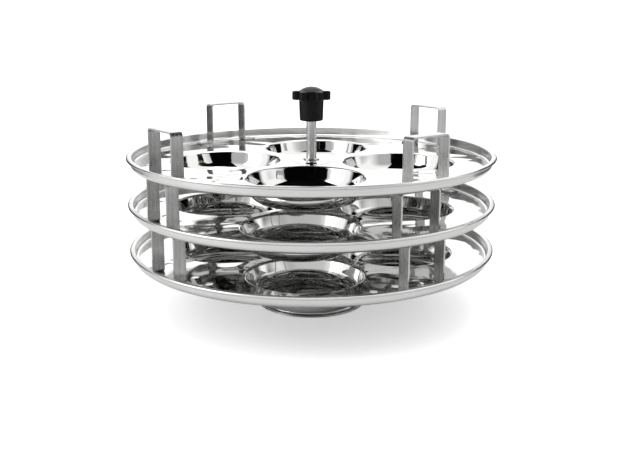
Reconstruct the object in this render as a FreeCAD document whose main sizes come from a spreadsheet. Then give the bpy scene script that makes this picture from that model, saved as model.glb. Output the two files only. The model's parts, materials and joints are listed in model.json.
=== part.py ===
"""Three-tier steamed-cake stand: pressed pans with four cups each, stacked on strap arches round one rod.

Millimetres, +Z up.  The origin is the centre of the ring on which the base dish stands, on the rod's axis.
-Y is the front.  The pans can be lifted along the rod and turned about it, and the knob screws off its top.
"""
import FreeCAD, Part
import Sketcher
import math
import os
import re

DIMENSIONS = [
    # pressed pans
    ("lipRadius", 115.0, "outer radius of a pan over its rolled lip"),
    ("lipWidth", 2.5, "how far the lip stands out from the pan wall"),
    ("sheet", 0.8, "thickness of the pressed sheet"),
    ("rimHeight", 7.0, "height of the pan from its underside to the top of the lip"),
    ("lipHeight", 1.7, "height of the rolled lip"),
    ("lipInset", 0.8, "rounding from the wall into the top of the lip"),
    ("panCorner", 2.8, "outer radius of the corner between floor and wall"),
    ("bossRadius", 14.7, "radius of the raised centre of the pan"),
    ("bossSlope", 1.6, "width of the slope round the raised centre"),
    ("bossRise", 1.0, "height of the raised centre"),
    ("cupCount", 4, "cups in a pan"),
    ("cupGap", 5.3, "flat floor left between two cups"),
    ("cupRadius", 35.2, "outer radius of a cup wall where it meets the floor"),
    ("cupTaper", 15.0, "slant of a cup wall in degrees"),
    ("cupDepth", 13.6, "depth of a cup below the underside of the pan"),
    ("cupArc", 10.5, "outer radius between a cup's wall and its bottom"),
    ("cupBend", 1.0, "radius under the edge of a cup"),
    ("ventRadius", 2.5, "radius of a steam vent"),
    ("ventInset", 12.4, "distance of a row of vents inside the arch in front of it"),
    ("ventStep", 16.0, "spacing of the vents in a row"),
    ("ventCount", 4, "vents in a row"),
    # strap arches
    ("archCount", 4, "arches on a pan"),
    ("archInset", 10.1, "distance from the pan wall in to the middle of a strap"),
    ("archAngle", 40.5, "angle of the first arch after the first cup"),
    ("archSpan", 27.7, "outer width of an arch across its legs"),
    ("strapWidth", 7.7, "width of the strap"),
    ("strapSheet", 1.0, "thickness of the strap"),
    ("strapTopBend", 1.4, "inner radius of the two upper bends"),
    ("strapFootBend", 0.8, "inner radius of the two lower bends"),
    ("footLength", 8.6, "length of a foot outside its leg"),
    # the stack
    ("baseClear", 33.7, "height of the bottom pan's underside above the table"),
    ("pitch", 29.1, "distance from one pan to the next"),
    ("seatGap", 0.25, "clearance between an arch and the pan that rests on it"),
    ("bottomTurn", -3.9, "angle at which the bottom pan stands"),
    ("middleTurn", -6.8, "angle at which the middle pan stands"),
    ("topTurn", -3.4, "angle at which the top pan stands"),
    # spindle rod
    ("rodRadius", 3.175, "radius of the rod"),
    ("rodEndRise", 6.0, "height of the rod's lower end above the table"),
    ("rodChamfer", 0.6, "chamfer on the rod's ends"),
    ("threadStep", 0.175, "step from the rod down to the knob's thread"),
    ("threadPitch", 1.0, "pitch of that thread"),
    ("threadDepth", 0.45, "depth of that thread"),
    ("threadTurns", 9, "turns of thread on the rod"),
    # centre bushes
    ("runClear", 0.05, "radial clearance of a running fit"),
    ("endClear", 0.15, "clearance at the end of a running fit"),
    ("sleeveWall", 1.075, "wall of a bush where the pan turns on it"),
    ("flangeWidth", 2.2, "width of a bush's lower flange"),
    ("flangeSheet", 0.8, "thickness of a bush's lower flange"),
    ("crimpWidth", 0.8, "width of the rolled upper edge of a bush"),
    ("crimpHeight", 0.6, "height of that edge"),
    # base
    ("dishRadius", 34.5, "outer radius of the base dish over its flat rim"),
    ("dishRim", 3.2, "width of the dish's flat rim with its bend"),
    ("dishHeight", 15.0, "height of the base dish"),
    ("dishArc", 9.0, "outer radius between the dish's wall and its top"),
    ("dishBend", 1.0, "inner radius between the dish's wall and its rim"),
    ("collarWall", 2.825, "wall of the spacer tube on the base dish"),
    ("washerWidth", 3.125, "width of the washer inside the base dish"),
    ("washerHeight", 1.2, "thickness of that washer"),
    ("nutFlats", 10.0, "width of the nut across its flats"),
    ("nutHeight", 5.0, "height of the nut"),
    # knob
    ("knobRise", 25.4, "height of the knob above the top pan's floor"),
    ("hubLower", 7.35, "radius of the knob's hub at its lower end"),
    ("hubUpper", 7.75, "radius of the knob's hub at its head"),
    ("hubRound", 1.2, "rounding of the hub's lower edge"),
    ("hubHeight", 13.0, "height of the hub below the lobes"),
    ("lobeHeight", 5.6, "thickness of the lobes"),
    ("lobeReach", 12.0, "radius over the lobes"),
    ("lobeWidth", 4.8, "width of a lobe"),
    ("lobeRoot", 6.4, "radius at which a lobe starts inside the hub"),
    ("lobeRound", 0.7, "rounding of the lobes' edges"),
    ("lobeCount", 6, "lobes on the knob"),
    ("domeRise", 2.7, "height of the knob's domed top over its lobes"),
    ("insertWall", 1.3, "wall of the knob's threaded insert"),
    ("insertHeight", 12.4, "height of the insert"),
    ("keyStep", 0.9, "width of the collar that holds the insert in the knob"),
    ("keyLow", 4.0, "height of the collar's lower face in the insert"),
    ("keyHigh", 7.0, "height of the collar's upper face in the insert"),
    ("boreRoom", 1.2, "room over the insert and over the rod's end inside the knob"),
]

DERIVED = [
    ("wallRadius", "lipRadius - lipWidth"),
    ("cupHole", "cupRadius + cupBend * tan((90 - cupTaper) / 2)"),
    ("cupFlat", "cupRadius - cupDepth * tan(cupTaper) - cupArc * tan((90 - cupTaper) / 2)"),
    ("cupCircle", "(cupHole + cupGap / 2) / sin(180 / cupCount)"),
    ("archCircle", "wallRadius - archInset"),
    ("ventRow", "archCircle - ventInset"),
    ("dishWall", "dishRadius - dishRim"),
    ("archHeight", "pitch - sheet - seatGap"),
    ("bottomLevel", "baseClear"),
    ("middleLevel", "baseClear + pitch"),
    ("topLevel", "baseClear + 2 * pitch"),
    ("bushDrop", "bossRise - endClear - flangeSheet"),
    ("boreRadius", "rodRadius + runClear"),
    ("sleeveRadius", "boreRadius + sleeveWall"),
    ("flangeRadius", "sleeveRadius + flangeWidth"),
    ("crimpRadius", "sleeveRadius + crimpWidth"),
    ("collarRadius", "rodRadius + collarWall"),
    ("washerRadius", "rodRadius + washerWidth"),
    ("threadRadius", "rodRadius - threadStep"),
    ("insertRadius", "threadRadius + insertWall"),
    ("keyRadius", "insertRadius + keyStep"),
    ("knobBase", "topLevel + sheet + knobRise"),
    ("rodTop", "knobBase + insertHeight - boreRoom / 2"),
    ("threadLow", "rodTop - rodChamfer - (threadTurns + 1) * threadPitch"),
]

TIERS = ("bottom", "middle", "top")
UP = FreeCAD.Vector(0, 0, 1)

document = FreeCAD.newDocument("CakeStand")
sizes = document.addObject("Spreadsheet::Sheet", "Sizes")
sub_parts = []


def sized(text):
    """An expression in the sheet's aliases, written so that any object of the document can use it."""
    return re.sub(r"(?!cos|sin|tan)\b[A-Za-z]+", r"Sizes.\g<0>", text)


def value(text):
    """The number that an expression in the sheet's aliases gives now."""
    return float(sizes.evalExpression(sized(text)))


def fill_sheet():
    """One row for each size: its name, its value and what it is."""
    rows = [(alias, repr(number), note) for alias, number, note in DIMENSIONS]
    rows += [(alias, "=" + text, "worked out") for alias, text in DERIVED]
    for row, (alias, content, note) in enumerate(rows, start=1):
        sizes.set(f"A{row}", alias)
        sizes.set(f"B{row}", content)
        sizes.setAlias(f"B{row}", alias)
        sizes.set(f"C{row}", note)
    document.recompute()


def upright():
    """A placement that already turns about Z, so that its angle can be bound to an expression."""
    return FreeCAD.Placement(FreeCAD.Vector(), FreeCAD.Rotation(UP, 1))


def new_body(label):
    """A body of its own for one sub-part."""
    body = document.addObject("PartDesign::Body", label)
    body.Label = label
    sub_parts.append(body)
    return body


def origin_feature(body, role):
    """One of the body's own origin planes or axes."""
    return next(feature for feature in body.Origin.OriginFeatures if feature.Role == role)


def new_sketch(body, name, plane, lift="0", turn="0"):
    """A sketch on one of the body's origin planes, raised from it and turned in it."""
    sketch = body.newObject("Sketcher::SketchObject", name)
    sketch.AttachmentSupport = [(origin_feature(body, plane), "")]
    sketch.MapMode = "FlatFace"
    sketch.AttachmentOffset = upright()
    sketch.setExpression(".AttachmentOffset.Base.z", sized(lift))
    sketch.setExpression(".AttachmentOffset.Rotation.Angle", sized(turn))
    return sketch


def bind(sketch, constraint, text):
    """Adds a dimension to the sketch and ties it to an expression in the sheet's aliases."""
    index = sketch.addConstraint(constraint)
    sketch.setExpression(f"Constraints[{index}]", sized(text))


def pin(sketch, geometry, point, across, up):
    """Fixes one point of a sketch by its two distances from the origin."""
    for kind, text in (("DistanceX", across), ("DistanceY", up)):
        bind(sketch, Sketcher.Constraint(kind, -1, 1, geometry, point, value(text)), text)


def arc_between(start, end, radius, left):
    """The short arc that turns left or right from start to end, always drawn counterclockwise."""
    chord = end.sub(start)
    half = chord.Length / 2
    rise = math.sqrt(max(radius * radius - half * half, 0.0))
    side = FreeCAD.Vector(-chord.y, chord.x, 0).normalize() * rise
    centre = (start + end) * 0.5 + (side if left else side * -1)
    spokes = (start - centre, end - centre) if left else (end - centre, start - centre)
    first, last = (math.atan2(spoke.y, spoke.x) for spoke in spokes)
    circle = Part.Circle(centre, UP, radius)
    return Part.ArcOfCircle(circle, first, last if last > first else last + 2 * math.pi)


def outline(sketch, corners):
    """A closed outline.  Each corner is (across, up) and its edge to the next corner is straight,
    or (across, up, radius, side) and that edge is an arc that turns to that side."""
    points = [FreeCAD.Vector(value(corner[0]), value(corner[1]), 0) for corner in corners]
    ends = []
    for index, corner in enumerate(corners):
        start, end = points[index], points[(index + 1) % len(points)]
        if len(corner) == 2:
            edge = sketch.addGeometry(Part.LineSegment(start, end), False)
            ends.append((edge, 1, 2))
            continue
        left = corner[3] == "left"
        edge = sketch.addGeometry(arc_between(start, end, value(corner[2]), left), False)
        ends.append((edge, 1, 2) if left else (edge, 2, 1))
    for index, corner in enumerate(corners):
        edge, first, last = ends[index]
        following, joined, _ = ends[(index + 1) % len(ends)]
        sketch.addConstraint(Sketcher.Constraint("Coincident", edge, last, following, joined))
        pin(sketch, edge, first, corner[0], corner[1])
        if len(corner) == 4:
            bind(sketch, Sketcher.Constraint("Radius", edge, value(corner[2])), corner[2])


def ring(sketch, across, up, radius):
    """A circle in a sketch."""
    centre = FreeCAD.Vector(value(across), value(up), 0)
    edge = sketch.addGeometry(Part.Circle(centre, UP, value(radius)), False)
    pin(sketch, edge, 3, across, up)
    bind(sketch, Sketcher.Constraint("Radius", edge, value(radius)), radius)


def revolve(body, sketch, axis=None):
    """A full turn of the sketch about the body's own Z axis, or about a line of the sketch."""
    turned = body.newObject("PartDesign::Revolution", sketch.Name + "Turned")
    turned.Profile = sketch
    turned.ReferenceAxis = axis or (origin_feature(body, "Z_Axis"), [""])
    turned.Angle = 360
    return turned


def pad(body, sketch, length, midplane=False):
    """The sketch pushed out to a length, to one side or to both."""
    made = body.newObject("PartDesign::Pad", sketch.Name + "Pad")
    made.Profile = sketch
    made.setExpression("Length", sized(length))
    made.SideType = "Symmetric" if midplane else "One side"
    return made


def cut_through(body, sketch):
    """The sketch cut right through everything above it."""
    cut = body.newObject("PartDesign::Pocket", sketch.Name + "Cut")
    cut.Profile = sketch
    cut.Type = "ThroughAll"
    cut.Reversed = True
    return cut


def repeat_round(body, features, count, name):
    """Features repeated evenly round the body's Z axis."""
    pattern = body.newObject("PartDesign::PolarPattern", name)
    pattern.Originals = features
    pattern.Axis = (origin_feature(body, "Z_Axis"), [""])
    pattern.Angle = 360
    pattern.setExpression("Occurrences", sized(count))
    body.Tip = pattern
    return pattern


def place(body, up, turn="0", out="0"):
    """Puts a sub-part at a height, turned about the rod's axis and moved out from it along its own X."""
    body.Placement = upright()
    body.setExpression(".Placement.Base.x", sized(f"({out}) * cos({turn})"))
    body.setExpression(".Placement.Base.y", sized(f"({out}) * sin({turn})"))
    body.setExpression(".Placement.Base.z", sized(up))
    body.setExpression(".Placement.Rotation.Angle", sized(turn))


def pan_section():
    """Half of the pan's section without its cups, measured from the level of the cups' undersides."""
    top = "cupDepth + rimHeight"
    return [
        ("sleeveRadius + runClear", "cupDepth + bossRise"),
        ("bossRadius - bossSlope", "cupDepth + bossRise"),
        ("bossRadius", "cupDepth"),
        ("wallRadius - panCorner", "cupDepth", "panCorner", "left"),
        ("wallRadius", "cupDepth + panCorner"),
        ("wallRadius", f"{top} - lipHeight"),
        ("lipRadius - lipHeight / 2", f"{top} - lipHeight", "lipHeight / 2", "left"),
        ("lipRadius", f"{top} - lipHeight / 2", "lipHeight / 2", "left"),
        ("lipRadius - lipHeight / 2", top),
        ("wallRadius - sheet + lipInset", top, "lipInset", "left"),
        ("wallRadius - sheet", f"{top} - lipInset"),
        ("wallRadius - sheet", "cupDepth + panCorner", "panCorner - sheet", "right"),
        ("wallRadius - panCorner", "cupDepth + sheet"),
        ("bossRadius", "cupDepth + sheet"),
        ("bossRadius - bossSlope", "cupDepth + sheet + bossRise"),
        ("sleeveRadius + runClear", "cupDepth + sheet + bossRise"),
    ]


def cup_section():
    """Half of a cup's section: a flat bottom, an arc, a slanted wall and the edge that joins the floor."""
    axis = "cupCircle"
    flat, edge = f"{axis} + cupFlat", f"{axis} + cupHole"
    bend = "(cupBend + sheet)"
    arc = "(cupArc - sheet)"
    return [
        (axis, "0"),
        (flat, "0", "cupArc", "left"),
        (f"{flat} + cupArc * cos(cupTaper)", "cupArc - cupArc * sin(cupTaper)"),
        (f"{edge} - cupBend * cos(cupTaper)", "cupDepth - cupBend + cupBend * sin(cupTaper)", "cupBend", "right"),
        (edge, "cupDepth"),
        (edge, "cupDepth + sheet", bend, "left"),
        (f"{edge} - {bend} * cos(cupTaper)", f"cupDepth - cupBend + {bend} * sin(cupTaper)"),
        (f"{flat} + {arc} * cos(cupTaper)", f"cupArc - {arc} * sin(cupTaper)", arc, "right"),
        (flat, "sheet"),
        (axis, "sheet"),
    ]


def make_pan(tier):
    """A pressed pan: a shallow dish with a rolled lip, round cups, rows of vents and a raised centre."""
    body = new_body(f"{tier}_pan")
    section = new_sketch(body, f"{tier}PanSection", "XZ_Plane")
    outline(section, pan_section())
    revolve(body, section)

    opening = new_sketch(body, f"{tier}CupOpening", "XY_Plane")
    ring(opening, "cupCircle", "0", "cupHole")
    hole = cut_through(body, opening)

    bowl = new_sketch(body, f"{tier}CupSection", "XZ_Plane")
    outline(bowl, cup_section())
    cup = revolve(body, bowl, (bowl, [f"Edge{len(cup_section())}"]))
    repeat_round(body, [hole, cup], "cupCount", f"{tier}Cups")

    row = new_sketch(body, f"{tier}VentRow", "XY_Plane", turn="archAngle")
    for number in range(round(value("ventCount"))):
        ring(row, "ventRow", f"({number} - (ventCount - 1) / 2) * ventStep", "ventRadius")
    vents = cut_through(body, row)
    repeat_round(body, [vents], "archCount", f"{tier}Vents")
    place(body, f"{tier}Level - cupDepth", f"{tier}Turn")


def arch_section():
    """The bent strap seen along its width: two feet turned outwards, two legs and a flat top."""
    half, inner, foot = "archSpan / 2", "archSpan / 2 - strapSheet", "strapFootBend + strapSheet"
    corner = "strapTopBend + strapSheet"
    tip = f"({half} + footLength)"
    right = [
        (f"{inner}", f"{foot}", foot, "left"),
        (f"{inner} + {foot}", "0"),
        (tip, "0"),
        (tip, "strapSheet"),
        (f"{half} + strapFootBend", "strapSheet", "strapFootBend", "right"),
        (half, foot),
        (half, f"archHeight - ({corner})", corner, "left"),
        (f"{half} - ({corner})", "archHeight"),
    ]
    left = [
        (f"-({half}) + {corner}", "archHeight", corner, "left"),
        (f"-({half})", f"archHeight - ({corner})"),
        (f"-({half})", foot, "strapFootBend", "right"),
        (f"-({half}) - strapFootBend", "strapSheet"),
        (f"-{tip}", "strapSheet"),
        (f"-{tip}", "0"),
        (f"-({inner}) - ({foot})", "0", foot, "left"),
        (f"-({inner})", f"{foot}"),
        (f"-({inner})", "archHeight - strapSheet - strapTopBend", "strapTopBend", "right"),
        (f"-({inner}) + strapTopBend", "archHeight - strapSheet"),
        (f"{inner} - strapTopBend", "archHeight - strapSheet", "strapTopBend", "right"),
        (f"{inner}", "archHeight - strapSheet - strapTopBend"),
    ]
    return right + left


def make_arch(tier, number):
    """One strap arch, welded by its feet to the floor of a pan.  The next pan rests on its top."""
    body = new_body(f"{tier}_arch_{number + 1}")
    strap = new_sketch(body, f"{tier}Strap{number + 1}", "YZ_Plane")
    outline(strap, arch_section())
    pad(body, strap, "strapWidth", midplane=True)
    turn = f"{tier}Turn + archAngle + {number} * 360 / archCount"
    place(body, f"{tier}Level + sheet", turn, "archCircle")


def make_bush(tier):
    """The flanged bush in the centre of a pan.  It slides on the rod and the pan turns on it."""
    body = new_body(f"{tier}_bush")
    seat = "flangeSheet + endClear + sheet + endClear"
    section = new_sketch(body, f"{tier}BushSection", "XZ_Plane")
    outline(section, [
        ("boreRadius", "0"),
        ("flangeRadius", "0"),
        ("flangeRadius", "flangeSheet"),
        ("sleeveRadius", "flangeSheet"),
        ("sleeveRadius", seat),
        ("crimpRadius", seat),
        ("crimpRadius", f"{seat} + crimpHeight / 2", "crimpHeight / 2", "left"),
        ("crimpRadius - crimpHeight / 2", f"{seat} + crimpHeight"),
        ("boreRadius", f"{seat} + crimpHeight"),
    ])
    revolve(body, section)
    place(body, f"{tier}Level + bushDrop")


def make_rod():
    """The rod, with the knob's thread as plain grooves on its narrower upper end."""
    body = new_body("spindle_rod")
    section = new_sketch(body, "RodSection", "XZ_Plane")
    outline(section, [
        ("0", "rodEndRise"),
        ("rodRadius - rodChamfer", "rodEndRise"),
        ("rodRadius", "rodEndRise + rodChamfer"),
        ("rodRadius", "knobBase - endClear"),
        ("threadRadius", "knobBase - endClear"),
        ("threadRadius", "rodTop - rodChamfer"),
        ("threadRadius - rodChamfer", "rodTop"),
        ("0", "rodTop"),
    ])
    revolve(body, section)
    tooth = new_sketch(body, "ThreadGroove", "XZ_Plane")
    outline(tooth, [
        ("threadRadius + threadDepth", "threadLow - threadPitch"),
        ("threadRadius + threadDepth", "threadLow + threadPitch"),
        ("threadRadius - threadDepth", "threadLow"),
    ])
    groove = body.newObject("PartDesign::Groove", "ThreadCut")
    groove.Profile = tooth
    groove.ReferenceAxis = (origin_feature(body, "Z_Axis"), [""])
    groove.Angle = 360
    thread = body.newObject("PartDesign::LinearPattern", "Thread")
    thread.Originals = [groove]
    thread.Direction = (origin_feature(body, "Z_Axis"), [""])
    thread.setExpression("Length", sized("(threadTurns - 1) * threadPitch"))
    thread.setExpression("Occurrences", sized("threadTurns"))
    body.Tip = thread


def make_dish():
    """The base dish, a pressed bowl that stands upside down on a flat rim."""
    body = new_body("base_dish")
    section = new_sketch(body, "DishSection", "XZ_Plane")
    outline(section, [
        ("rodRadius", "dishHeight - sheet"),
        ("rodRadius", "dishHeight"),
        ("dishWall - dishArc", "dishHeight", "dishArc", "right"),
        ("dishWall", "dishHeight - dishArc"),
        ("dishWall", "sheet + dishBend", "dishBend", "left"),
        ("dishWall + dishBend", "sheet"),
        ("dishRadius - sheet / 2", "sheet", "sheet / 2", "right"),
        ("dishRadius", "sheet / 2", "sheet / 2", "right"),
        ("dishRadius - sheet / 2", "0"),
        ("dishWall + dishBend", "0", "dishBend + sheet", "right"),
        ("dishWall - sheet", "sheet + dishBend"),
        ("dishWall - sheet", "dishHeight - dishArc", "dishArc - sheet", "left"),
        ("dishWall - dishArc", "dishHeight - sheet"),
    ])
    revolve(body, section)


def make_tube(label, inner, outer, height, up):
    """A plain ring or tube round the rod."""
    body = new_body(label)
    section = new_sketch(body, label.replace("_", "") + "Section", "XY_Plane")
    ring(section, "0", "0", outer)
    ring(section, "0", "0", inner)
    pad(body, section, height)
    place(body, up)


def make_nut():
    """The hexagon nut that clamps the base dish, with its corners turned off."""
    body = new_body("base_nut")
    flats = new_sketch(body, "NutFlats", "XY_Plane")
    corner = "nutFlats / 2 / cos(30)"
    steps = [(f"{corner} * cos({60 * number})", f"{corner} * sin({60 * number})") for number in range(6)]
    outline(flats, steps)
    ring(flats, "0", "0", "rodRadius")
    pad(body, flats, "nutHeight")
    bevel = new_sketch(body, "NutBevel", "XZ_Plane")
    outline(bevel, [
        ("nutFlats / 2", "0"),
        (f"{corner} + 1", "0"),
        (f"{corner} + 1", f"({corner} + 1 - nutFlats / 2) * tan(30)"),
    ])
    groove = body.newObject("PartDesign::Groove", "NutBevelCut")
    groove.Profile = bevel
    groove.ReferenceAxis = (origin_feature(body, "Z_Axis"), [""])
    groove.Angle = 360
    body.Tip = groove
    place(body, "dishHeight - sheet - washerHeight - nutHeight")


def make_insert():
    """The knob's threaded insert, with the collar that keeps it in the knob."""
    body = new_body("knob_insert")
    section = new_sketch(body, "InsertSection", "XZ_Plane")
    outline(section, [
        ("threadRadius + runClear", "0"),
        ("insertRadius", "0"),
        ("insertRadius", "keyLow"),
        ("keyRadius", "keyLow"),
        ("keyRadius", "keyHigh"),
        ("insertRadius", "keyHigh"),
        ("insertRadius", "insertHeight"),
        ("threadRadius + runClear", "insertHeight"),
    ])
    revolve(body, section)
    place(body, "knobBase")


def lobe_edges(shape):
    """The edges round the upper and lower faces of the knob's lobes."""
    low, high = value("hubHeight"), value("hubHeight + lobeHeight")
    names = []
    for number, edge in enumerate(shape.Edges, start=1):
        box = edge.BoundBox
        level = abs(box.ZMin - box.ZMax) < 1e-6 and min(abs(box.ZMin - low), abs(box.ZMin - high)) < 1e-6
        reach = max(math.hypot(*vertex.Point[:2]) for vertex in edge.Vertexes)
        if level and reach > value("hubUpper") + 0.05:
            names.append(f"Edge{number}")
    return names


def make_knob():
    """The moulded knob: a slightly tapered hub, lobes to grip and a domed top."""
    body = new_body("knob_body")
    room = "insertRadius + runClear"
    groove = "keyRadius + runClear"
    head = "hubHeight + lobeHeight"
    section = new_sketch(body, "KnobSection", "XZ_Plane")
    outline(section, [
        (room, "0"),
        ("hubLower - hubRound", "0", "hubRound", "left"),
        ("hubLower", "hubRound"),
        ("hubUpper", "hubHeight"),
        ("hubUpper", head, "(hubUpper * hubUpper + domeRise * domeRise) / 2 / domeRise", "left"),
        ("0", f"{head} + domeRise"),
        ("0", "insertHeight + boreRoom"),
        (room, "insertHeight + boreRoom"),
        (room, "keyHigh + endClear"),
        (groove, "keyHigh + endClear"),
        (groove, "keyLow - endClear"),
        (room, "keyLow - endClear"),
    ])
    revolve(body, section)
    grip = new_sketch(body, "LobeShape", "XY_Plane", lift="hubHeight")
    tip = "lobeReach - lobeWidth / 2"
    outline(grip, [
        ("lobeRoot", "-lobeWidth / 2"),
        (tip, "-lobeWidth / 2", "lobeWidth / 2", "left"),
        ("lobeReach", "0", "lobeWidth / 2", "left"),
        (tip, "lobeWidth / 2"),
        ("lobeRoot", "lobeWidth / 2"),
    ])
    lobe = pad(body, grip, "lobeHeight")
    lobes = repeat_round(body, [lobe], "lobeCount", "Lobes")
    document.recompute()
    soft = body.newObject("PartDesign::Fillet", "LobeRounding")
    soft.Base = (lobes, lobe_edges(lobes.Shape))
    soft.setExpression("Radius", sized("lobeRound"))
    body.Tip = soft
    place(body, "knobBase")


def check_document():
    """Stops if an object failed or a sub-part isn't one valid solid."""
    for item in document.Objects:
        if "Invalid" in item.State or "Error" in item.State:
            raise RuntimeError(f"{item.Name} failed: {item.State}")
    for body in sub_parts:
        if body.Shape.isNull() or not body.Shape.isValid() or len(body.Shape.Solids) != 1:
            raise RuntimeError(f"{body.Label} isn't one valid solid")


def main():
    fill_sheet()
    make_dish()
    make_tube("base_washer", "rodRadius", "washerRadius", "washerHeight", "dishHeight - sheet - washerHeight")
    make_nut()
    collar_height = "bottomLevel + bushDrop - dishHeight"
    make_tube("base_collar", "rodRadius", "collarRadius", collar_height, "dishHeight")
    make_rod()
    for tier in TIERS:
        make_bush(tier)
        make_pan(tier)
        for number in range(round(value("archCount"))):
            make_arch(tier, number)
    make_insert()
    make_knob()
    document.recompute()
    check_document()
    os.makedirs("parts", exist_ok=True)
    for body in sub_parts:
        body.Shape.exportStep(f"parts/{body.Label}.step")
        box = body.Shape.BoundBox
        print(f"{body.Label:16s} volume {body.Shape.Volume:10.1f}  z {box.ZMin:7.2f} to {box.ZMax:7.2f}")


main()
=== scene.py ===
"""Looks of the three-tier steamed-cake stand: polished pans, brushed straps, satin rod and black knob."""
import json
import math

import bmesh
import bpy
from bpy.props import FloatProperty, FloatVectorProperty, IntProperty, PointerProperty
from mathutils import Matrix, Vector


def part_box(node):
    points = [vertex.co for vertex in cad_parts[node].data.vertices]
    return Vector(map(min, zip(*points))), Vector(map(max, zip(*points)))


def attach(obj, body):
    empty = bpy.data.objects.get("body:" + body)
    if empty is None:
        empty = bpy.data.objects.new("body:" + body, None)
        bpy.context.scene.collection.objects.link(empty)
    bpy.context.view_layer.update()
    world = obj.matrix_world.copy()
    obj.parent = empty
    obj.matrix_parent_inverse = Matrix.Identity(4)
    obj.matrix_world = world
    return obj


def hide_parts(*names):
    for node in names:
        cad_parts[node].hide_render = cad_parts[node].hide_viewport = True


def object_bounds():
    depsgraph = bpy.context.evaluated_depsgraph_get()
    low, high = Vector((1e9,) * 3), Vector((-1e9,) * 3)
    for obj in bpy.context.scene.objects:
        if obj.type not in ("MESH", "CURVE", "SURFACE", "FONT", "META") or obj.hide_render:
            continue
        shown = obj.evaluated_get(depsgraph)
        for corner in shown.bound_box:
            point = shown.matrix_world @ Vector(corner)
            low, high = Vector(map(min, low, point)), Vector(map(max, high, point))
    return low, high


bl_info = {
    "name": "Steamed-cake stand",
    "version": (1, 0, 0),
    "blender": (4, 5, 0),
    "location": "View3D > Sidebar > Cake stand",
    "description": "Builds the visible pieces, finishes and studio of a three-tier steamed-cake stand",
    "category": "Object",
}

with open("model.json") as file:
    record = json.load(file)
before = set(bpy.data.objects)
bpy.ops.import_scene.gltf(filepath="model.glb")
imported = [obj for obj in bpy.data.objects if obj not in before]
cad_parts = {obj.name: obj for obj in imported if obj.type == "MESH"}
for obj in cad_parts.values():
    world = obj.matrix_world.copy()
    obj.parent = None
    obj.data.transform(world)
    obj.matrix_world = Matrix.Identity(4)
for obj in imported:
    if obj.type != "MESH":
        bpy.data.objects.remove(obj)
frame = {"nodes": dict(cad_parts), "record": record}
cad_box = [list(corner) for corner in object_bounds()]

MM = 0.001
NEAR = 0.001 * MM
MERGED = 0.002 * MM
TIERS = ("bottom", "middle", "top")
UP = Vector((0.0, 0.0, 1.0))

# faces in a full turn of each round shape
ROUND = {"rim": 256, "centre": 96, "cup": 112, "vent": 28, "weld": 20, "rod": 64, "thread": 40, "bush": 64,
         "dish": 144, "knob": 240}


# ---------------------------------------------------------------- places read from the frame

def opening(name):
    """Lowest and highest corner of one of the record's stated openings."""
    for entry in frame["record"]["physics"]["openings"]:
        if entry["name"] == name:
            return Vector(entry["box_m"][0]), Vector(entry["box_m"][1])
    raise RuntimeError(f"the record has no opening {name}")


def flat_middle(corners):
    """Centre of a box given by two corners, brought down to the table."""
    low, high = corners
    return Vector(((low.x + high.x) / 2, (low.y + high.y) / 2, 0.0))


def bearing(point):
    """Angle of a point round the rod, in radians."""
    return math.atan2(point.y, point.x)


def cup_centres(tier):
    """Where the axes of a pan's cups stand."""
    return [flat_middle(opening(f"{tier}_cup_{number}")) for number in range(1, 5)]


def arch_centres(tier):
    """Where the strap arches of a pan stand."""
    return [flat_middle(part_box(f"{tier}_arch_{number}")) for number in range(1, 5)]


# ---------------------------------------------------------------- sizes that a user would change

def length(name, default, note):
    """A property that holds a length in metres."""
    return FloatProperty(name=name, description=note, default=default, unit="LENGTH", precision=5, min=0.0)


class PanSizes(bpy.types.PropertyGroup):
    """Sheet-metal sizes of a pressed pan."""
    sheet: length("Sheet", 0.8 * MM, "Thickness of the pressed sheet")
    rim_height: length("Rim height", 7.0 * MM, "From the underside of the floor to the top of the lip")
    lip_width: length("Lip width", 2.5 * MM, "How far the rolled lip stands out from the wall")
    lip_height: length("Lip height", 1.7 * MM, "Height of the rolled lip")
    lip_inset: length("Lip rounding", 0.8 * MM, "Rounding from the wall into the top of the lip")
    corner: length("Corner", 2.8 * MM, "Outer radius between floor and wall")
    boss_radius: length("Centre radius", 14.7 * MM, "Radius of the raised centre")
    boss_slope: length("Centre slope", 1.6 * MM, "Width of the slope round the raised centre")
    boss_rise: length("Centre rise", 1.0 * MM, "Height of the raised centre")
    hole: length("Centre hole", 4.35 * MM, "Radius of the hole in the centre")
    cup_radius: length("Cup radius", 35.2 * MM, "Outer radius of a cup's wall where it meets the floor")
    cup_taper: FloatProperty(name="Cup taper", description="Slant of a cup's wall", subtype="ANGLE",
                             default=math.radians(15.0))
    cup_depth: length("Cup depth", 13.6 * MM, "Depth of a cup below the underside")
    cup_arc: length("Cup arc", 10.5 * MM, "Outer radius between a cup's wall and its bottom")
    cup_bend: length("Cup bend", 1.0 * MM, "Radius under the edge of a cup")
    vent: length("Vent radius", 2.5 * MM, "Radius of a steam vent")
    vent_step: length("Vent spacing", 16.0 * MM, "Spacing of the vents in a row")
    vent_inset: length("Vent inset", 12.4 * MM, "Distance from a strap arch in to its row of vents")
    vents: IntProperty(name="Vents", description="Vents in a row", default=4, min=1)


class StrapSizes(bpy.types.PropertyGroup):
    """Sizes of a bent strap arch."""
    span: length("Span", 27.7 * MM, "Outer width across the legs")
    width: length("Width", 7.7 * MM, "Width of the strap")
    sheet: length("Sheet", 1.0 * MM, "Thickness of the strap")
    top_bend: length("Top bend", 1.4 * MM, "Inner radius of the upper bends")
    foot_bend: length("Foot bend", 0.8 * MM, "Inner radius of the lower bends")
    foot: length("Foot", 8.6 * MM, "Length of a foot outside its leg")
    edge: length("Edge", 0.16 * MM, "Rounding along the edges of the strap")


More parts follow.
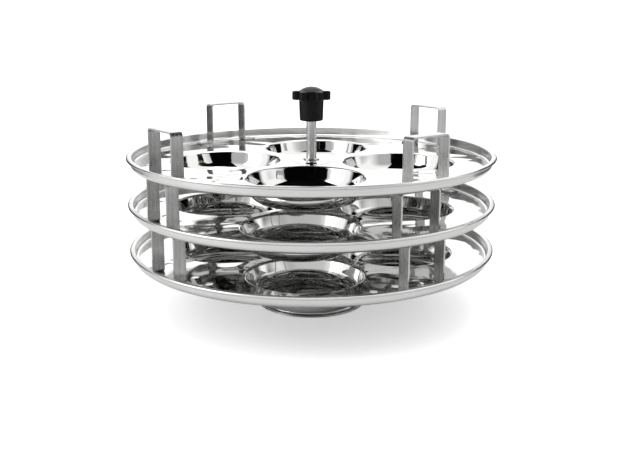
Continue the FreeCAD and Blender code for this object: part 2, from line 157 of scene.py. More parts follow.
class SpindleSizes(bpy.types.PropertyGroup):
    """Sizes of the rod, its thread and the bushes round it."""
    chamfer: length("Chamfer", 0.6 * MM, "Chamfer on the rod's lower end")
    shoulder_gap: length("Shoulder gap", 0.15 * MM, "From the rod's shoulder up to the knob's insert")
    core_step: length("Core step", 0.6 * MM, "Step from the rod down to the core of its threaded end")
    thread_step: length("Thread step", 0.205 * MM, "Step from the rod down to the crest of its thread")
    thread_depth: length("Thread depth", 0.47 * MM, "Height of the thread's ridge, with its root in the core")
    pitch: length("Pitch", 1.0 * MM, "Rise of the thread in a turn")
    turns: IntProperty(name="Turns", description="Turns of thread", default=10, min=1)
    bore: length("Bore", 3.225 * MM, "Radius of a bush's bore")
    sleeve: length("Sleeve", 4.3 * MM, "Radius of a bush where the pan turns on it")
    flange_height: length("Flange height", 0.8 * MM, "Thickness of a bush's lower flange")
    crimp: length("Crimp", 5.1 * MM, "Radius of a bush's rolled upper edge")
    crimp_height: length("Crimp height", 0.6 * MM, "Height of a bush's rolled upper edge")


class DishSizes(bpy.types.PropertyGroup):
    """Sheet-metal sizes of the base dish."""
    sheet: length("Sheet", 0.8 * MM, "Thickness of the pressed sheet")
    rim: length("Rim", 3.2 * MM, "Width of the flat rim with its bend")
    arc: length("Arc", 9.0 * MM, "Outer radius between the wall and the top")
    bend: length("Bend", 1.0 * MM, "Inner radius between the wall and the rim")
    hole: length("Hole", 3.175 * MM, "Radius of the hole for the rod")


class KnobSizes(bpy.types.PropertyGroup):
    """Sizes of the moulded knob."""
    hub_lower: length("Lower hub", 7.35 * MM, "Radius of the hub at its lower end")
    hub_upper: length("Upper hub", 7.75 * MM, "Radius of the hub under the head")
    hub_round: length("Hub rounding", 1.2 * MM, "Rounding of the hub's lower edge")
    hub_height: length("Hub height", 13.0 * MM, "Height of the hub below the lobes")
    lobe_height: length("Lobe height", 5.6 * MM, "Thickness of the lobes")
    lobe_width: length("Lobe width", 4.8 * MM, "Width of a lobe")
    lobe_round: length("Lobe rounding", 0.9 * MM, "Rounding of the lobes' edges")
    blend: length("Root rounding", 0.9 * MM, "Rounding where a lobe leaves the hub")
    lobes: IntProperty(name="Lobes", description="Lobes to grip", default=6, min=2)
    bore: length("Bore", 4.35 * MM, "Radius of the bore round the insert")
    bore_height: length("Bore height", 13.6 * MM, "Height of the bore")
    key: length("Key", 5.25 * MM, "Radius of the groove round the insert's collar")
    key_low: length("Key, lower", 3.85 * MM, "Height of the groove's lower side")
    key_high: length("Key, upper", 7.15 * MM, "Height of the groove's upper side")


class StudioSettings(bpy.types.PropertyGroup):
    """Light, background and camera."""
    sky: FloatProperty(name="Surroundings", description="Brightness of the white room", default=1.5, min=0.0)
    side_light: FloatProperty(name="Side light", description="Power of the left softbox", default=6.0,
                              unit="POWER")
    top_light: FloatProperty(name="Top light", description="Power of the overhead softbox", default=5.0,
                             unit="POWER")
    floor_glow: FloatProperty(name="Floor glow", description="Light from below the floor", default=0.4,
                              min=0.0)
    floor_color: FloatVectorProperty(name="Floor", description="Colour of the floor", subtype="COLOR",
                                     default=(0.88, 0.88, 0.88))
    elevation: FloatProperty(name="Elevation", description="Height angle of the camera", subtype="ANGLE",
                             default=math.radians(12.23))
    distance: length("Distance", 547.7 * MM, "From the camera to the middle pan's lip")
    sensor: FloatProperty(name="Sensor", description="Width of the sensor in millimetres", default=36.0)
    lens: FloatProperty(name="Lens", description="Focal length in millimetres", default=48.14)
    shift_across: FloatProperty(name="Shift across", description="Sideways shift of the lens",
                                default=0.0135)
    shift_up: FloatProperty(name="Shift up", description="Upward shift of the lens", default=-0.0454)


# ---------------------------------------------------------------- mesh helpers

def filleted(corners, closed=False, steps=6):
    """Points along a path in which each corner (across, up, radius) is rounded by its radius."""
    spots = [Vector(corner[:2]) for corner in corners]
    path = []
    for index, corner in enumerate(corners):
        radius = corner[2] if len(corner) > 2 else 0.0
        at_end = not closed and index in (0, len(corners) - 1)
        if radius <= 0.0 or at_end:
            path.append(spots[index])
            continue
        back = (spots[index - 1] - spots[index]).normalized()
        ahead = (spots[(index + 1) % len(spots)] - spots[index]).normalized()
        half = back.angle(ahead) / 2
        centre = spots[index] + (back + ahead).normalized() * radius / math.sin(half)
        first = spots[index] + back * radius / math.tan(half) - centre
        turn = -math.copysign(math.pi - 2 * half, back.cross(ahead))
        count = max(2, math.ceil(steps * abs(turn) / (math.pi / 2)))
        for step in range(count + 1):
            angle = turn * step / count
            path.append(centre + Matrix.Rotation(angle, 2) @ first)
    shortest = 1e-7
    kept = path[:1]
    kept += [point for before, point in zip(path, path[1:]) if (point - before).length > shortest]
    if closed and (kept[0] - kept[-1]).length < shortest:
        kept.pop()
    return kept


def turned(path, steps, closed=False):
    """Mesh data of a path of (radius, height) points turned once round the upright axis."""
    mesh = bmesh.new()
    points = [mesh.verts.new((point.x, 0.0, point.y)) for point in path]
    edges = [mesh.edges.new(pair) for pair in zip(points, points[1:])]
    if closed:
        edges.append(mesh.edges.new((points[-1], points[0])))
    bmesh.ops.spin(mesh, geom=points + edges, cent=(0, 0, 0), axis=UP, angle=math.tau, steps=steps,
                   use_merge=True, use_duplicate=False)
    data = bpy.data.meshes.new("turned")
    mesh.to_mesh(data)
    mesh.free()
    return data


def add_turned(mesh, path, steps, centres=(Vector(),), closed=False):
    """Adds the path turned round an upright axis at each of the centres."""
    data = turned(path, steps, closed)
    for centre in centres:
        shape = data.copy()
        shape.transform(Matrix.Translation(centre))
        mesh.from_mesh(shape)
        bpy.data.meshes.remove(shape)
    bpy.data.meshes.remove(data)


def seal(mesh):
    """Joins the seams and turns every face outwards."""
    bmesh.ops.remove_doubles(mesh, verts=mesh.verts, dist=MERGED)
    bmesh.ops.recalc_face_normals(mesh, faces=mesh.faces)


def finish_piece(name, mesh, material, body, replaced=(), sharp=30.0):
    """Makes the object of a finished mesh, with smooth faces and sharp creases, and ties it to its body."""
    limit = math.radians(sharp)
    for face in mesh.faces:
        face.smooth = True
    for edge in mesh.edges:
        edge.smooth = len(edge.link_faces) == 2 and edge.calc_face_angle() < limit
    data = bpy.data.meshes.new(name)
    mesh.to_mesh(data)
    mesh.free()
    piece = bpy.data.objects.new(name, data)
    bpy.context.scene.collection.objects.link(piece)
    data.materials.append(material)
    even = piece.modifiers.new("Even shading", "WEIGHTED_NORMAL")
    even.keep_sharp = True
    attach(piece, body)
    if replaced:
        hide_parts(*replaced)
    return piece


# ---------------------------------------------------------------- materials

def new_material(name, metallic, color, roughness):
    """A Principled material and what builds its nodes."""
    material = bpy.data.materials.new(name)
    material.use_nodes = True
    nodes, links = material.node_tree.nodes, material.node_tree.links
    shader = nodes["Principled BSDF"]
    shader.inputs["Metallic"].default_value = metallic
    shader.inputs["Base Color"].default_value = (*color, 1.0)
    shader.inputs["Roughness"].default_value = roughness
    return material, nodes, links, shader


def add_node(nodes, kind, values=None, **settings):
    """A node with its settings and the values of its inputs."""
    node = nodes.new(kind)
    for key, setting in settings.items():
        setattr(node, key, setting)
    for key, content in (values or {}).items():
        node.inputs[key].default_value = content
    return node


def placed_coordinates(nodes, links, scale=(1.0, 1.0, 1.0), output="Object"):
    """Object coordinates, stretched along the axes."""
    source = add_node(nodes, "ShaderNodeTexCoord")
    mapping = add_node(nodes, "ShaderNodeMapping", {"Scale": scale})
    links.new(source.outputs[output], mapping.inputs["Vector"])
    return mapping.outputs["Vector"]


def noise(nodes, links, vector, scale, detail=2.0, roughness=0.5, distortion=0.0):
    """The grey value of a noise pattern."""
    texture = add_node(nodes, "ShaderNodeTexNoise", {
        "Scale": scale, "Detail": detail, "Roughness": roughness, "Distortion": distortion})
    links.new(vector, texture.inputs["Vector"])
    return texture.outputs["Fac"]


def remapped(nodes, links, value, low, high, start=0.0, end=1.0):
    """A value moved from one range to another."""
    ranged = add_node(nodes, "ShaderNodeMapRange", {
        "From Min": low, "From Max": high, "To Min": start, "To Max": end})
    links.new(value, ranged.inputs["Value"])
    return ranged.outputs["Result"]


def add_bump(nodes, links, shader, heights):
    """Stacks bumps, each (height, strength, distance), under the shader's normal."""
    normal = None
    for height, strength, distance in heights:
        bump = add_node(nodes, "ShaderNodeBump", {"Strength": strength, "Distance": distance})
        links.new(height, bump.inputs["Height"])
        if normal:
            links.new(normal, bump.inputs["Normal"])
        normal = bump.outputs["Normal"]
    links.new(normal, shader.inputs["Normal"])


def math_node(nodes, links, operation, *values):
    """The result of one sum on sockets and numbers."""
    node = add_node(nodes, "ShaderNodeMath", operation=operation)
    for slot, value in zip(node.inputs, values):
        if isinstance(value, (int, float)):
            slot.default_value = value
        else:
            links.new(value, slot)
    return node.outputs["Value"]


def mixed_color(nodes, links, factor, first, second):
    """A blend of two colours."""
    mix = add_node(nodes, "ShaderNodeMix", data_type="RGBA")
    links.new(factor, mix.inputs["Factor"])
    mix.inputs["A"].default_value = (*first, 1.0)
    mix.inputs["B"].default_value = (*second, 1.0)
    return mix.outputs["Result"]


def from_axis(nodes, links):
    """Distance from the rod's axis."""
    source = add_node(nodes, "ShaderNodeTexCoord")
    split = add_node(nodes, "ShaderNodeSeparateXYZ")
    links.new(source.outputs["Object"], split.inputs["Vector"])
    squares = [math_node(nodes, links, "MULTIPLY", split.outputs[axis], split.outputs[axis]) for axis in "XY"]
    return math_node(nodes, links, "SQRT", math_node(nodes, links, "ADD", *squares))


def pressed_steel(wall_radius):
    """Mirror-polished pressed steel, satin on the wall and the lip."""
    material, nodes, links, shader = new_material("polished_pressed_steel", 1.0, (0.7, 0.7, 0.69), 0.05)
    place = placed_coordinates(nodes, links)
    radius = from_axis(nodes, links)
    outside = remapped(nodes, links, radius, wall_radius - 1.6 * MM, wall_radius - 1.0 * MM)
    smears = noise(nodes, links, place, 55.0, detail=4.0, roughness=0.6)
    polished = remapped(nodes, links, smears, 0.35, 0.75, 0.035, 0.075)
    rings = noise(nodes, links, placed_coordinates(nodes, links, (18.0, 18.0, 9000.0)), 1.0, detail=3.0)
    satin = remapped(nodes, links, rings, 0.3, 0.7, 0.2, 0.34)
    rough = add_node(nodes, "ShaderNodeMix", data_type="FLOAT")
    links.new(outside, rough.inputs["Factor"])
    links.new(polished, rough.inputs["A"])
    links.new(satin, rough.inputs["B"])
    links.new(rough.outputs["Result"], shader.inputs["Roughness"])
    links.new(mixed_color(nodes, links, outside, (0.61, 0.61, 0.605), (0.66, 0.66, 0.655)),
              shader.inputs["Base Color"])
    waves = noise(nodes, links, place, 24.0, detail=1.0, distortion=0.8)
    dents = noise(nodes, links, place, 60.0, detail=1.0, distortion=0.6)
    turning = add_node(nodes, "ShaderNodeTexNoise", {"Scale": 1.0, "Detail": 2.0}, noise_dimensions="1D")
    links.new(math_node(nodes, links, "MULTIPLY", radius, 2600.0), turning.inputs["W"])
    add_bump(nodes, links, shader, [(waves, 0.7, 2.2 * MM), (dents, 0.2, 0.25 * MM),
                                    (turning.outputs["Fac"], 0.02, 0.02 * MM)])
    return material


def dish_steel():
    """Polished steel of the base dish."""
    material, nodes, links, shader = new_material("polished_dish_steel", 1.0, (0.52, 0.52, 0.515), 0.08)
    place = placed_coordinates(nodes, links)
    smears = noise(nodes, links, place, 70.0, detail=4.0, roughness=0.6)
    links.new(remapped(nodes, links, smears, 0.35, 0.75, 0.06, 0.13), shader.inputs["Roughness"])
    add_bump(nodes, links, shader, [(noise(nodes, links, place, 40.0, detail=1.0), 0.25, 0.3 * MM)])
    return material


def strap_steel():
    """Strap with its grain along its length."""
    material, nodes, links, shader = new_material("brushed_strap_steel", 1.0, (0.5, 0.5, 0.5), 0.32)
    along = placed_coordinates(nodes, links, (1.0, 0.02, 1.0), output="UV")
    grain = noise(nodes, links, along, 5200.0, detail=4.0, roughness=0.65)
    streaks = noise(nodes, links, along, 900.0, detail=2.0)
    links.new(remapped(nodes, links, grain, 0.3, 0.7, 0.2, 0.36), shader.inputs["Roughness"])
    links.new(mixed_color(nodes, links, streaks, (0.3, 0.3, 0.3), (0.74, 0.74, 0.735)),
              shader.inputs["Base Color"])
    add_bump(nodes, links, shader, [(grain, 0.4, 0.05 * MM)])
    return material


def drawn_steel():
    """Satin drawn bar, with faint lines along it."""
    material, nodes, links, shader = new_material("drawn_rod_steel", 1.0, (0.6, 0.6, 0.6), 0.22)
    along = placed_coordinates(nodes, links, (1.0, 1.0, 0.012))
    lines = noise(nodes, links, along, 2600.0, detail=4.0, roughness=0.6)
    links.new(remapped(nodes, links, lines, 0.3, 0.7, 0.16, 0.34), shader.inputs["Roughness"])
    links.new(mixed_color(nodes, links, lines, (0.52, 0.52, 0.52), (0.68, 0.68, 0.68)),
              shader.inputs["Base Color"])
    add_bump(nodes, links, shader, [(lines, 0.2, 0.03 * MM)])
    return material


def turned_metal(name, dark, light, rough):
    """A turned fitting, with fine rings round its axis."""
    material, nodes, links, shader = new_material(name, 1.0, light, rough)
    rings = noise(nodes, links, placed_coordinates(nodes, links, (30.0, 30.0, 6000.0)), 1.0, detail=3.0)
    links.new(remapped(nodes, links, rings, 0.3, 0.7, rough * 0.7, rough * 1.3), shader.inputs["Roughness"])
    links.new(mixed_color(nodes, links, rings, dark, light), shader.inputs["Base Color"])
    add_bump(nodes, links, shader, [(rings, 0.12, 0.02 * MM)])
    return material


def moulded_plastic():
    """Black moulded plastic with a soft sheen and a very fine texture."""
    material, nodes, links, shader = new_material("black_moulded_plastic", 0.0, (0.006, 0.006, 0.006), 0.3)
    shader.inputs["Specular IOR Level"].default_value = 0.14
    place = placed_coordinates(nodes, links)
    patches = noise(nodes, links, place, 160.0, detail=4.0)
    links.new(remapped(nodes, links, patches, 0.3, 0.7, 0.24, 0.36), shader.inputs["Roughness"])
    links.new(mixed_color(nodes, links, patches, (0.004, 0.004, 0.004), (0.009, 0.009, 0.009)),
              shader.inputs["Base Color"])
    texture = noise(nodes, links, place, 4200.0, detail=2.0)
    add_bump(nodes, links, shader, [(texture, 0.12, 0.03 * MM), (patches, 0.1, 0.1 * MM)])
    return material


def white_floor(color, glow):
    """Smooth white studio floor, lit a little from below."""
    material, nodes, links, shader = new_material("white_studio_floor", 0.0, color, 0.3)
    place = placed_coordinates(nodes, links)
    links.new(remapped(nodes, links, noise(nodes, links, place, 3.0), 0.3, 0.7, 0.26, 0.34),
              shader.inputs["Roughness"])
    shader.inputs["Emission Color"].default_value = (1.0, 1.0, 1.0, 1.0)
    shader.inputs["Emission Strength"].default_value = glow
    return material


def shaded_floor_copy():
    """The floor as polished steel shows it: a copy painted grey as painted shade, darker than the floor and
    without the light from below.
    """
    return new_material("shaded_floor_copy", 0.0, (0.6, 0.6, 0.6), 0.8)[0]


def black_flag():
    """Black cloth of the studio's flags."""
    material, _, _, shader = new_material("black_flag", 0.0, (0.001, 0.001, 0.001), 0.9)
    shader.inputs["Specular IOR Level"].default_value = 0.0
    return material


# ---------------------------------------------------------------- pans

def fill_floor(mesh, level):
    """Fills the flat floor between all open loops at one level."""
    rims = [edge for edge in mesh.edges if len(edge.link_faces) == 1
            and all(abs(vertex.co.z - level) < NEAR for vertex in edge.verts)]
    bmesh.ops.triangle_fill(mesh, use_beauty=True, use_dissolve=False, edges=rims, normal=UP)


def vent_centres(tier, sizes):
    """Where the vents are punched, in a straight row behind each strap arch."""
    spots = []
    for arch in arch_centres(tier):
        outward = arch.normalized()
        sideways = UP.cross(outward)
        for number in range(sizes.vents):
            offset = (number - (sizes.vents - 1) / 2) * sizes.vent_step
            spots.append(arch - outward * sizes.vent_inset + sideways * offset)
    return spots


def shape_pan(tier, sizes):
    """The mesh of one pan: wall and lip, raised centre, cups and vents, joined by the flat floor."""
    low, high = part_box(f"{tier}_pan")
    lip = (high.x - low.x + high.y - low.y) / 4
    wall = lip - sizes.lip_width
    under = low.z + sizes.cup_depth
    top = under + sizes.sheet
    crest = under + sizes.rim_height
    curl = sizes.lip_height / 2
    crevice = 0.3 * MM
    mesh = bmesh.new()

    join = wall - sizes.corner
    rim = filleted([
        (join, top),
        (wall - sizes.sheet, top, sizes.corner - sizes.sheet),
        (wall - sizes.sheet, crest, sizes.lip_inset),
        (lip, crest, curl),
        (lip, crest - 2 * curl, curl),
        (wall + crevice, crest - 2 * curl, 0.4 * curl),
        (wall + crevice / 2, crest - curl),
        (wall, crest - curl),
        (wall, under, sizes.corner),
        (join, under),
    ])
    add_turned(mesh, rim, ROUND["rim"])

    slope = sizes.boss_radius - sizes.boss_slope
    soft = 1.2 * MM
    edge = 0.15 * MM
    hub = filleted([
        (sizes.boss_radius + soft, top),
        (sizes.boss_radius, top, soft),
        (slope, top + sizes.boss_rise, soft),
        (sizes.hole, top + sizes.boss_rise, edge),
        (sizes.hole, under + sizes.boss_rise, edge),
        (slope, under + sizes.boss_rise, soft),
        (sizes.boss_radius, under, soft),
        (sizes.boss_radius + soft, under),
    ])
    add_turned(mesh, hub, ROUND["centre"])

    slant = math.tan(sizes.cup_taper)
    across = sizes.cup_radius - sizes.sheet / math.cos(sizes.cup_taper)
    rim_edge = sizes.cup_radius + 1.5 * sizes.cup_bend
    inside = filleted([
        (rim_edge, top),
        (across + sizes.sheet * slant, top, sizes.cup_bend + sizes.sheet),
        (across - (sizes.cup_depth - sizes.sheet) * slant, low.z + sizes.sheet, sizes.cup_arc - sizes.sheet),
        (0.0, low.z + sizes.sheet),
    ], steps=12)
    outside = filleted([
        (0.0, low.z),
        (sizes.cup_radius - sizes.cup_depth * slant, low.z, sizes.cup_arc),
        (sizes.cup_radius, under, sizes.cup_bend),
        (rim_edge, under),
    ], steps=12)
    for path in (inside, outside):
        add_turned(mesh, path, ROUND["cup"], cup_centres(tier))

    punch = filleted([
        (sizes.vent + edge, top),
        (sizes.vent, top, edge),
        (sizes.vent, under, edge),
        (sizes.vent + edge, under),
    ], steps=3)
    add_turned(mesh, punch, ROUND["vent"], vent_centres(tier, sizes))

    bmesh.ops.remove_doubles(mesh, verts=mesh.verts, dist=MERGED)
    fill_floor(mesh, top)
    fill_floor(mesh, under)
    bmesh.ops.recalc_face_normals(mesh, faces=mesh.faces)
    return mesh, wall


class STAND_OT_pans(bpy.types.Operator):
    """Build the three pressed pans"""
    bl_idname = "stand.pans"
    bl_label = "Pans"

    def execute(self, context):
        sizes = context.scene.stand_pan
        steel = None
        for tier in TIERS:
            mesh, wall = shape_pan(tier, sizes)
            steel = steel or pressed_steel(wall)
            finish_piece(f"{tier}_pressed_pan", mesh, steel, f"{tier}_tier", [f"{tier}_pan"],
                         sharp=35.0)
        return {"FINISHED"}


# ---------------------------------------------------------------- strap arches

def strap_outline(sizes, height):
    """The bent strap seen along its width."""
    half = sizes.span / 2
    inner = half - sizes.sheet
    tip = half + sizes.foot
    outer_foot = sizes.foot_bend + sizes.sheet
    outer_top = sizes.top_bend + sizes.sheet
    right = [
        (inner, 0.0, outer_foot),
        (tip, 0.0),
        (tip, sizes.sheet),
        (half, sizes.sheet, sizes.foot_bend),
        (half, height, outer_top),
    ]
    under = [
        (-inner, height - sizes.sheet, sizes.top_bend),
        (inner, height - sizes.sheet, sizes.top_bend),
    ]
    left = [(-corner[0], *corner[1:]) for corner in reversed(right)]
    return filleted(right + left + under, closed=True, steps=7)


def shape_arch(node, sizes):
    """The mesh of one strap arch, with its grain laid along the strap."""
    low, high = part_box(node)
    mesh = bmesh.new()
    outline = strap_outline(sizes, high.z - low.z)
    face = mesh.faces.new([mesh.verts.new((-sizes.width / 2, point.x, point.y)) for point in outline])
    grown = bmesh.ops.extrude_face_region(mesh, geom=[face])["geom"]
    bmesh.ops.translate(mesh, verts=[item for item in grown if isinstance(item, bmesh.types.BMVert)],
                        vec=(sizes.width, 0.0, 0.0))
    bmesh.ops.recalc_face_normals(mesh, faces=mesh.faces)
    rims = [edge for edge in mesh.edges if abs(edge.verts[0].co.x - edge.verts[1].co.x) < NEAR]
    bmesh.ops.bevel(mesh, geom=rims, offset=sizes.edge, offset_type="OFFSET", segments=2, profile=0.5,
                    affect="EDGES", material=-1)
    bmesh.ops.triangulate(mesh, faces=[face for face in mesh.faces if len(face.verts) > 4])
    grain = mesh.loops.layers.uv.new("Grain")
    for face in mesh.faces:
        for loop in face.loops:
            spot = loop.vert.co
            loop[grain].uv = (spot.x, abs(spot.y) + spot.z)
    centre = flat_middle((low, high))
    stand = Matrix.Translation(centre + UP * low.z) @ Matrix.Rotation(bearing(centre), 4, "Z")
    bmesh.ops.transform(mesh, matrix=stand, verts=mesh.verts)
    return mesh


def shape_welds(tier, sizes):
    """Two shallow spots with a raised ring on each foot, where it is welded to the floor."""
    mesh = bmesh.new()
    hollow, crest, outer, sunk = 1.1 * MM, 1.45 * MM, 1.9 * MM, -0.1 * MM
    spot = filleted([
        (0.0, 0.04 * MM),
        (hollow, 0.05 * MM),
        (crest, 0.14 * MM, 0.1 * MM),
        (outer, sunk),
        (0.0, sunk),
    ])
    shares = (0.4, 0.78)
    level = UP * (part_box(f"{tier}_arch_1")[0].z + sizes.sheet)
    for arch in arch_centres(tier):
        sideways = UP.cross(arch.normalized())
        reach = [side * (sizes.span / 2 + sizes.foot * share) for side in (-1, 1) for share in shares]
        add_turned(mesh, spot, ROUND["weld"], [arch + level + sideways * distance for distance in reach])
    seal(mesh)
    return mesh


class STAND_OT_arches(bpy.types.Operator):
    """Build the strap arches and their weld spots"""
    bl_idname = "stand.arches"
    bl_label = "Strap arches"

    def execute(self, context):
        sizes = context.scene.stand_strap
        steel = strap_steel()
        for tier in TIERS:
            for number in range(1, 5):
                node = f"{tier}_arch_{number}"
                finish_piece(f"{tier}_strap_arch_{number}", shape_arch(node, sizes), steel, f"{tier}_tier",
                             [node])
            finish_piece(f"{tier}_weld_spots", shape_welds(tier, sizes), steel, f"{tier}_tier")
        return {"FINISHED"}


# ---------------------------------------------------------------- rod, bushes and base

def shape_rod(sizes):
    """The rod, with a plain core under its thread."""
    low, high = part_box("spindle_rod")
    radius = (high.x - low.x) / 2
    core = radius - sizes.core_step
    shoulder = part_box("knob_insert")[0].z - sizes.shoulder_gap
    mesh = bmesh.new()
    path = filleted([
        (0.0, low.z),
        (radius, low.z, sizes.chamfer),
        (radius, shoulder, 0.1 * MM),
        (core, shoulder),
        (core, high.z, 0.4 * MM),
        (0.0, high.z),
    ])
    add_turned(mesh, path, ROUND["rod"])
    seal(mesh)
    return mesh


def shape_thread(sizes):
    """The helical ridge of the knob's thread."""
    low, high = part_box("spindle_rod")
    crest = (high.x - low.x) / 2 - sizes.thread_step
    root = crest - sizes.thread_depth
    plain_turns = 1.2
    start = high.z - (sizes.turns + plain_turns) * sizes.pitch
    half_root, half_crest = 0.42 * sizes.pitch, 0.08 * sizes.pitch
    mesh = bmesh.new()
    profile = ((root, -half_root), (crest, -half_crest), (crest, half_crest), (root, half_root))
    corners = [mesh.verts.new((radius, 0.0, start + rise)) for radius, rise in profile]
    ridge = mesh.faces.new(corners)
    bmesh.ops.spin(mesh, geom=[ridge, *ridge.edges, *corners], cent=(0, 0, 0), axis=UP,
                   angle=math.tau * sizes.turns, dvec=(0.0, 0.0, sizes.pitch / ROUND["thread"]),
                   steps=ROUND["thread"] * sizes.turns, use_merge=False, use_duplicate=False)
    bmesh.ops.recalc_face_normals(mesh, faces=mesh.faces)
    return mesh


def shape_bush(node, sizes):
    """A flanged bush with a rolled upper edge."""
    low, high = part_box(node)
    flange = (high.x - low.x) / 2
    lower, upper = low.z + sizes.flange_height, high.z - sizes.crimp_height
    mesh = bmesh.new()
    path = filleted([
        (sizes.bore, low.z, 0.1 * MM),
        (flange, low.z, 0.2 * MM),
        (flange, lower, 0.2 * MM),
        (sizes.sleeve, lower),
        (sizes.sleeve, upper),
        (sizes.crimp, upper, 0.25 * MM),
        (sizes.crimp, high.z, 0.3 * MM),
        (sizes.bore, high.z, 0.25 * MM),
    ], closed=True, steps=4)
    add_turned(mesh, path, ROUND["bush"], closed=True)
    seal(mesh)
    return mesh


def shape_dish(sizes):
    """The base dish, a pressed bowl upside down on its flat rim."""
    low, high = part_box("base_dish")
    rim = (high.x - low.x) / 2
    wall = rim - sizes.rim
    sheet = sizes.sheet
    edge = 0.39 * MM
    mesh = bmesh.new()
    path = filleted([
        (sizes.hole, high.z, 0.1 * MM),
        (wall, high.z, sizes.arc),
        (wall, low.z + sheet, sizes.bend),
        (rim, low.z + sheet, edge),
        (rim, low.z, edge),
        (wall - sheet, low.z, sizes.bend + sheet),
        (wall - sheet, high.z - sheet, sizes.arc - sheet),
        (sizes.hole, high.z - sheet),
    ], closed=True, steps=10)
    add_turned(mesh, path, ROUND["dish"], closed=True)
    seal(mesh)
    return mesh


def dress_node(node, material):
    """Gives a CAD node that keeps its shape a finish of its own."""
    piece = frame["nodes"][node]
    if not piece.material_slots:
        piece.data.materials.append(material)
    for slot in piece.material_slots:
        slot.material = material


class STAND_OT_spindle(bpy.types.Operator):
    """Build the rod, its thread and the bushes in the pans"""
    bl_idname = "stand.spindle"
    bl_label = "Rod and bushes"

    def execute(self, context):
        sizes = context.scene.stand_spindle
        bar = drawn_steel()
        finish_piece("satin_rod", shape_rod(sizes), bar, "base", ["spindle_rod"])
        finish_piece("rod_thread", shape_thread(sizes), bar, "base", sharp=20.0)
        ring = turned_metal("turned_bush_steel", (0.5, 0.5, 0.49), (0.68, 0.68, 0.67), 0.2)
        for tier in TIERS:
            node = f"{tier}_bush"
            finish_piece(f"{tier}_centre_bush", shape_bush(node, sizes), ring, f"{tier}_slider",
                         [node])
        return {"FINISHED"}


class STAND_OT_base(bpy.types.Operator):
    """Build the base dish and finish its fixings"""
    bl_idname = "stand.base"
    bl_label = "Base"

    def execute(self, context):
        finish_piece("pressed_base_dish", shape_dish(context.scene.stand_dish), dish_steel(), "base",
                     ["base_dish"])
        plain = turned_metal("bright_fixing_steel", (0.45, 0.45, 0.45), (0.62, 0.62, 0.62), 0.25)
        dress_node("base_nut", plain)
        dress_node("base_washer", plain)
        tube = turned_metal("spacer_tube_steel", (0.5, 0.5, 0.5), (0.64, 0.64, 0.64), 0.24)
        dress_node("base_collar", tube)
        return {"FINISHED"}


# ---------------------------------------------------------------- knob

def lobe_share(angle, sizes, reach):
    """How far the head stands out from the hub at an angle, from 0 between lobes to 1 at a lobe's tip."""
    least = 0.02
    step = math.tau / sizes.lobes
    off = abs((angle + step / 2) % step - step / 2)
    tip = sizes.lobe_width / 2
    centre = reach - tip
    across = centre * math.sin(off)
    out = tip / max(math.sin(off), 1e-6)
    if across < tip:
        round_end = centre * math.cos(off) + math.sqrt(tip * tip - across * across)
        out = round_end if round_end > centre / math.cos(off) else out
    out = min(out, reach)
    rest = max(sizes.blend - abs(out - sizes.hub_upper), 0.0)
    joined = max(out, sizes.hub_upper) + rest * rest / (4 * sizes.blend)
    return max((joined - sizes.hub_upper) / (reach - sizes.hub_upper), least)


def shape_knob(sizes):
    """The knob as one skin: bore, tapered hub, lobes and domed top."""
    low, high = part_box("knob_body")
    reach = (high.x - low.x) / 2
    neck = low.z + sizes.hub_height
    head = neck + sizes.lobe_height
    key_low, key_high = low.z + sizes.key_low, low.z + sizes.key_high
    ceiling = low.z + sizes.bore_height
    rise = high.z - head
    dome = (sizes.hub_upper ** 2 + rise ** 2) / 2 / rise
    mesh = bmesh.new()
    path = filleted([
        (0.0, ceiling),
        (sizes.bore, ceiling),
        (sizes.bore, key_high),
        (sizes.key, key_high),
        (sizes.key, key_low),
        (sizes.bore, key_low),
        (sizes.bore, low.z, 0.2 * MM),
        (sizes.hub_lower, low.z, sizes.hub_round),
        (sizes.hub_upper, neck),
        (reach, neck, sizes.lobe_round),
        (reach, head, sizes.lobe_round),
        (sizes.hub_upper, head),
    ])
    rings = 12
    for step in range(1, rings + 1):
        radius = sizes.hub_upper * (1 - step / rings)
        path.append(Vector((radius, high.z - dome + math.sqrt(dome * dome - radius * radius))))
    add_turned(mesh, path, ROUND["knob"])
    for vertex in mesh.verts:
        radius = math.hypot(vertex.co.x, vertex.co.y)
        if radius > sizes.hub_upper + NEAR and vertex.co.z > neck - NEAR:
            share = lobe_share(bearing(vertex.co), sizes, reach)
            wanted = sizes.hub_upper + (radius - sizes.hub_upper) * share
            vertex.co.x *= wanted / radius
            vertex.co.y *= wanted / radius
    seal(mesh)
    return mesh


class STAND_OT_knob(bpy.types.Operator):
    """Build the moulded knob and finish its insert"""
    bl_idname = "stand.knob"
    bl_label = "Knob"

    def execute(self, context):
        finish_piece("moulded_knob", shape_knob(context.scene.stand_knob), moulded_plastic(), "knob",
                     ["knob_body"], sharp=40.0)
        dress_node("knob_insert", turned_metal("turned_brass", (0.5, 0.36, 0.14), (0.72, 0.56, 0.27), 0.25))
        return {"FINISHED"}


# ---------------------------------------------------------------- studio

# darker parts of the room, in degrees and in how much light each takes away:
# azimuth from the camera's side, half width, elevation, half height, softness, share
DARK_PATCHES = (
    (0.0, 50.0, 26.0, 20.0, 12.0, 0.55),
    (55.0, 30.0, 2.0, 9.0, 5.0, 1.0),
    (-128.0, 24.0, 8.0, 20.0, 5.0, 1.0),
    (128.0, 24.0, 8.0, 20.0, 5.0, 1.0),
)

# black flags that stand behind the stand: where each begins and ends in degrees from the camera's side,
# how far out they stand and how tall they are
FLAG_ARCS = ((108.0, 152.0), (-152.0, -108.0))
FLAG_REACH = 0.46
FLAG_HEIGHT = 0.24

# black cloth over the front cup: half its width, its distance in front, its lower edge and its top
CLOTH_HALF, CLOTH_FRONT, CLOTH_FOOT, CLOTH_TOP = 0.085, -0.12, 0.118, 0.2


